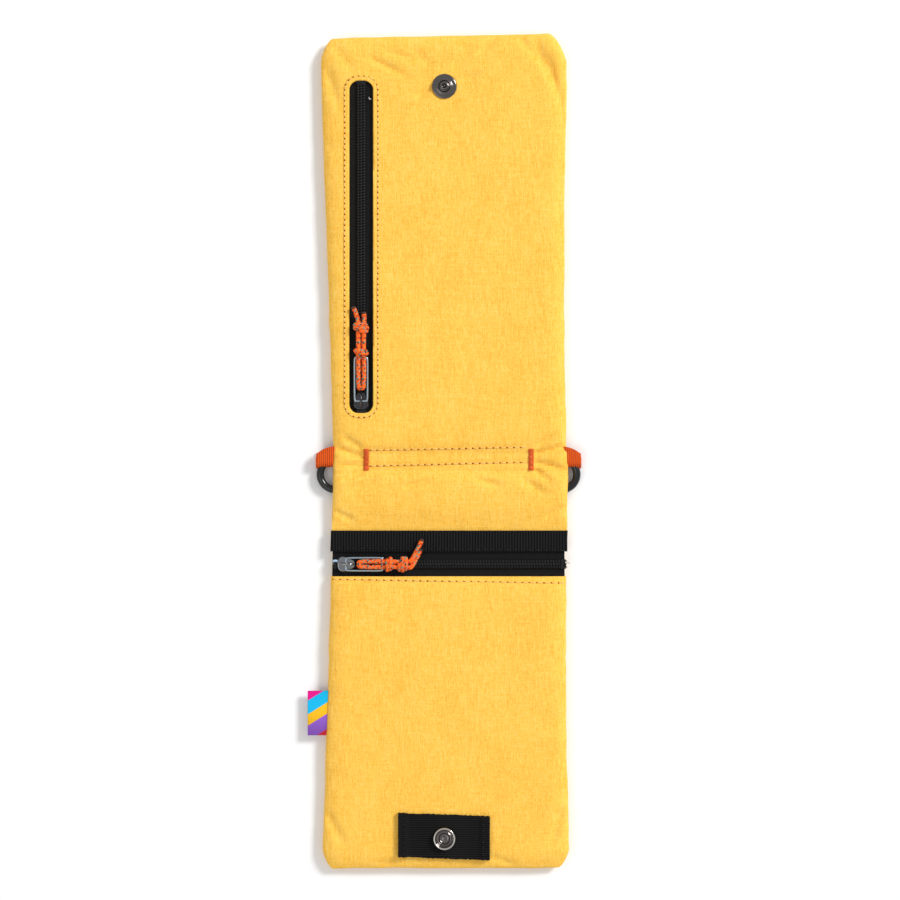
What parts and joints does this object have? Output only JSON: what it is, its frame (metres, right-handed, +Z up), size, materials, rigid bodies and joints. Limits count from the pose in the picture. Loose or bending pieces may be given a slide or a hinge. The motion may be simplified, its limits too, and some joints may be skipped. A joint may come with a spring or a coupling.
{
  "type": "fold-over zip pouch",
  "caption": "Slim padded fabric pouch that folds over a stitched spine, with a zip pocket on each half, cord zip pulls, strap rings and a press stud.",
  "frame": {"origin": "centre of the bounding box on the resting side, with the pouch open and flat", "axes": "+Z up out of the inner side, +Y towards the pouch with the lengthways zip, +X towards its right with the inner side seen from above"},
  "size_m": [0.1221, 0.3706, 0.0116],
  "materials": {
    "shell_fabric": "crinkled plain-weave nylon, warm yellow",
    "lining_fabric": "smooth blue lining",
    "foam": "closed-cell padding",
    "black_webbing": "ribbed black webbing",
    "orange_webbing": "ribbed orange webbing",
    "zip_tape": "black woven zip tape",
    "zip_coil": "black nylon coil",
    "slider_metal": "bright nickel",
    "pull_wire": "blue-grey steel wire",
    "pull_cord": "flecked orange braided cord",
    "snap_metal": "gunmetal press stud",
    "ring_plastic": "glossy black",
    "label_fabric": "woven label with plain diagonal stripes",
    "thread": "orange sewing thread"
  },
  "bodies": {
    "upper_pouch": {"snap_stud": "snap_metal", "snap_stud_back_plate": "snap_metal", "upper_back_shell": "shell_fabric", "upper_front_shell": "shell_fabric", "upper_padding": "foam", "upper_pocket_lining": "lining_fabric", "upper_zip_coil": "zip_coil", "upper_zip_end_stop": "slider_metal", "upper_zip_start_stop": "slider_metal", "upper_zip_tape_left": "zip_tape", "upper_zip_tape_right": "zip_tape"},
    "spine": {"bartack_left": "thread", "bartack_right": "thread", "spine_back_strip": "shell_fabric", "spine_front_strip": "shell_fabric", "spine_padding": "foam", "spine_webbing": "orange_webbing", "webbing_loop_left": "orange_webbing", "webbing_loop_right": "orange_webbing"},
    "lower_pouch": {"flap_panel": "shell_fabric", "grosgrain_band": "black_webbing", "lower_back_shell": "shell_fabric", "lower_front_shell": "shell_fabric", "lower_padding": "foam", "lower_pocket_lining": "lining_fabric", "lower_pocket_padding": "foam", "lower_zip_coil": "zip_coil", "lower_zip_end_stop": "slider_metal", "lower_zip_start_stop": "slider_metal", "lower_zip_tape_lower": "zip_tape", "lower_zip_tape_upper": "zip_tape", "side_label": "label_fabric", "slip_pocket_lining": "lining_fabric", "slip_pocket_wall": "shell_fabric", "snap_socket": "snap_metal", "snap_socket_back_plate": "snap_metal", "snap_tab": "black_webbing"},
    "left_ring": {"strap_ring_left": "ring_plastic"},
    "right_ring": {"strap_ring_right": "ring_plastic"},
    "upper_slider": {"upper_slider_blade": "slider_metal", "upper_slider_body": "slider_metal", "upper_slider_bridge": "slider_metal"},
    "upper_pull": {"upper_pull_cord": "pull_cord", "upper_pull_knot": "pull_cord", "upper_pull_neck": "pull_cord", "upper_pull_tails": "pull_cord", "upper_pull_wire": "pull_wire", "upper_pull_wrap": "pull_cord"},
    "lower_slider": {"lower_slider_blade": "slider_metal", "lower_slider_body": "slider_metal", "lower_slider_bridge": "slider_metal"},
    "lower_pull": {"lower_pull_cord": "pull_cord", "lower_pull_knot": "pull_cord", "lower_pull_tails": "pull_cord", "lower_pull_wire": "pull_wire", "lower_pull_wrap": "pull_cord"}
  },
  "joints": [
    {"name": "upper_crease", "type": "hinge", "parent": "upper_pouch", "child": "spine", "pos_m": [0, 0.00065, 0.00465], "axis": [-1, 0, 0], "range_deg": [0, 90]},
    {"name": "lower_crease", "type": "hinge", "parent": "spine", "child": "lower_pouch", "pos_m": [0, -0.01005, 0.00465], "axis": [-1, 0, 0], "range_deg": [0, 90]},
    {"name": "upper_slider_travel", "type": "slide", "parent": "upper_pouch", "child": "upper_slider", "axis": [0, 1, 0], "range_m": [0, 0.137]},
    {"name": "upper_pull_swing", "type": "hinge", "parent": "upper_slider", "child": "upper_pull", "pos_m": [-0.037, 0.0225, 0.00915], "axis": [-1, 0, 0], "range_deg": [-120, 0]},
    {"name": "lower_slider_travel", "type": "slide", "parent": "lower_pouch", "child": "lower_slider", "axis": [1, 0, 0], "range_m": [0, 0.0913]},
    {"name": "lower_pull_swing", "type": "hinge", "parent": "lower_slider", "child": "lower_pull", "pos_m": [-0.0437, -0.0501, 0.00715], "axis": [0, 1, 0], "range_deg": [-120, 0]},
    {"name": "left_ring_swing", "type": "hinge", "parent": "spine", "child": "left_ring", "pos_m": [-0.0486, -0.00335, 0.0029], "axis": [1, 0, 0], "range_deg": [0, 95]},
    {"name": "right_ring_swing", "type": "hinge", "parent": "spine", "child": "right_ring", "pos_m": [0.0523, -0.00335, 0.0029], "axis": [1, 0, 0], "range_deg": [0, 95]}
  ]
}
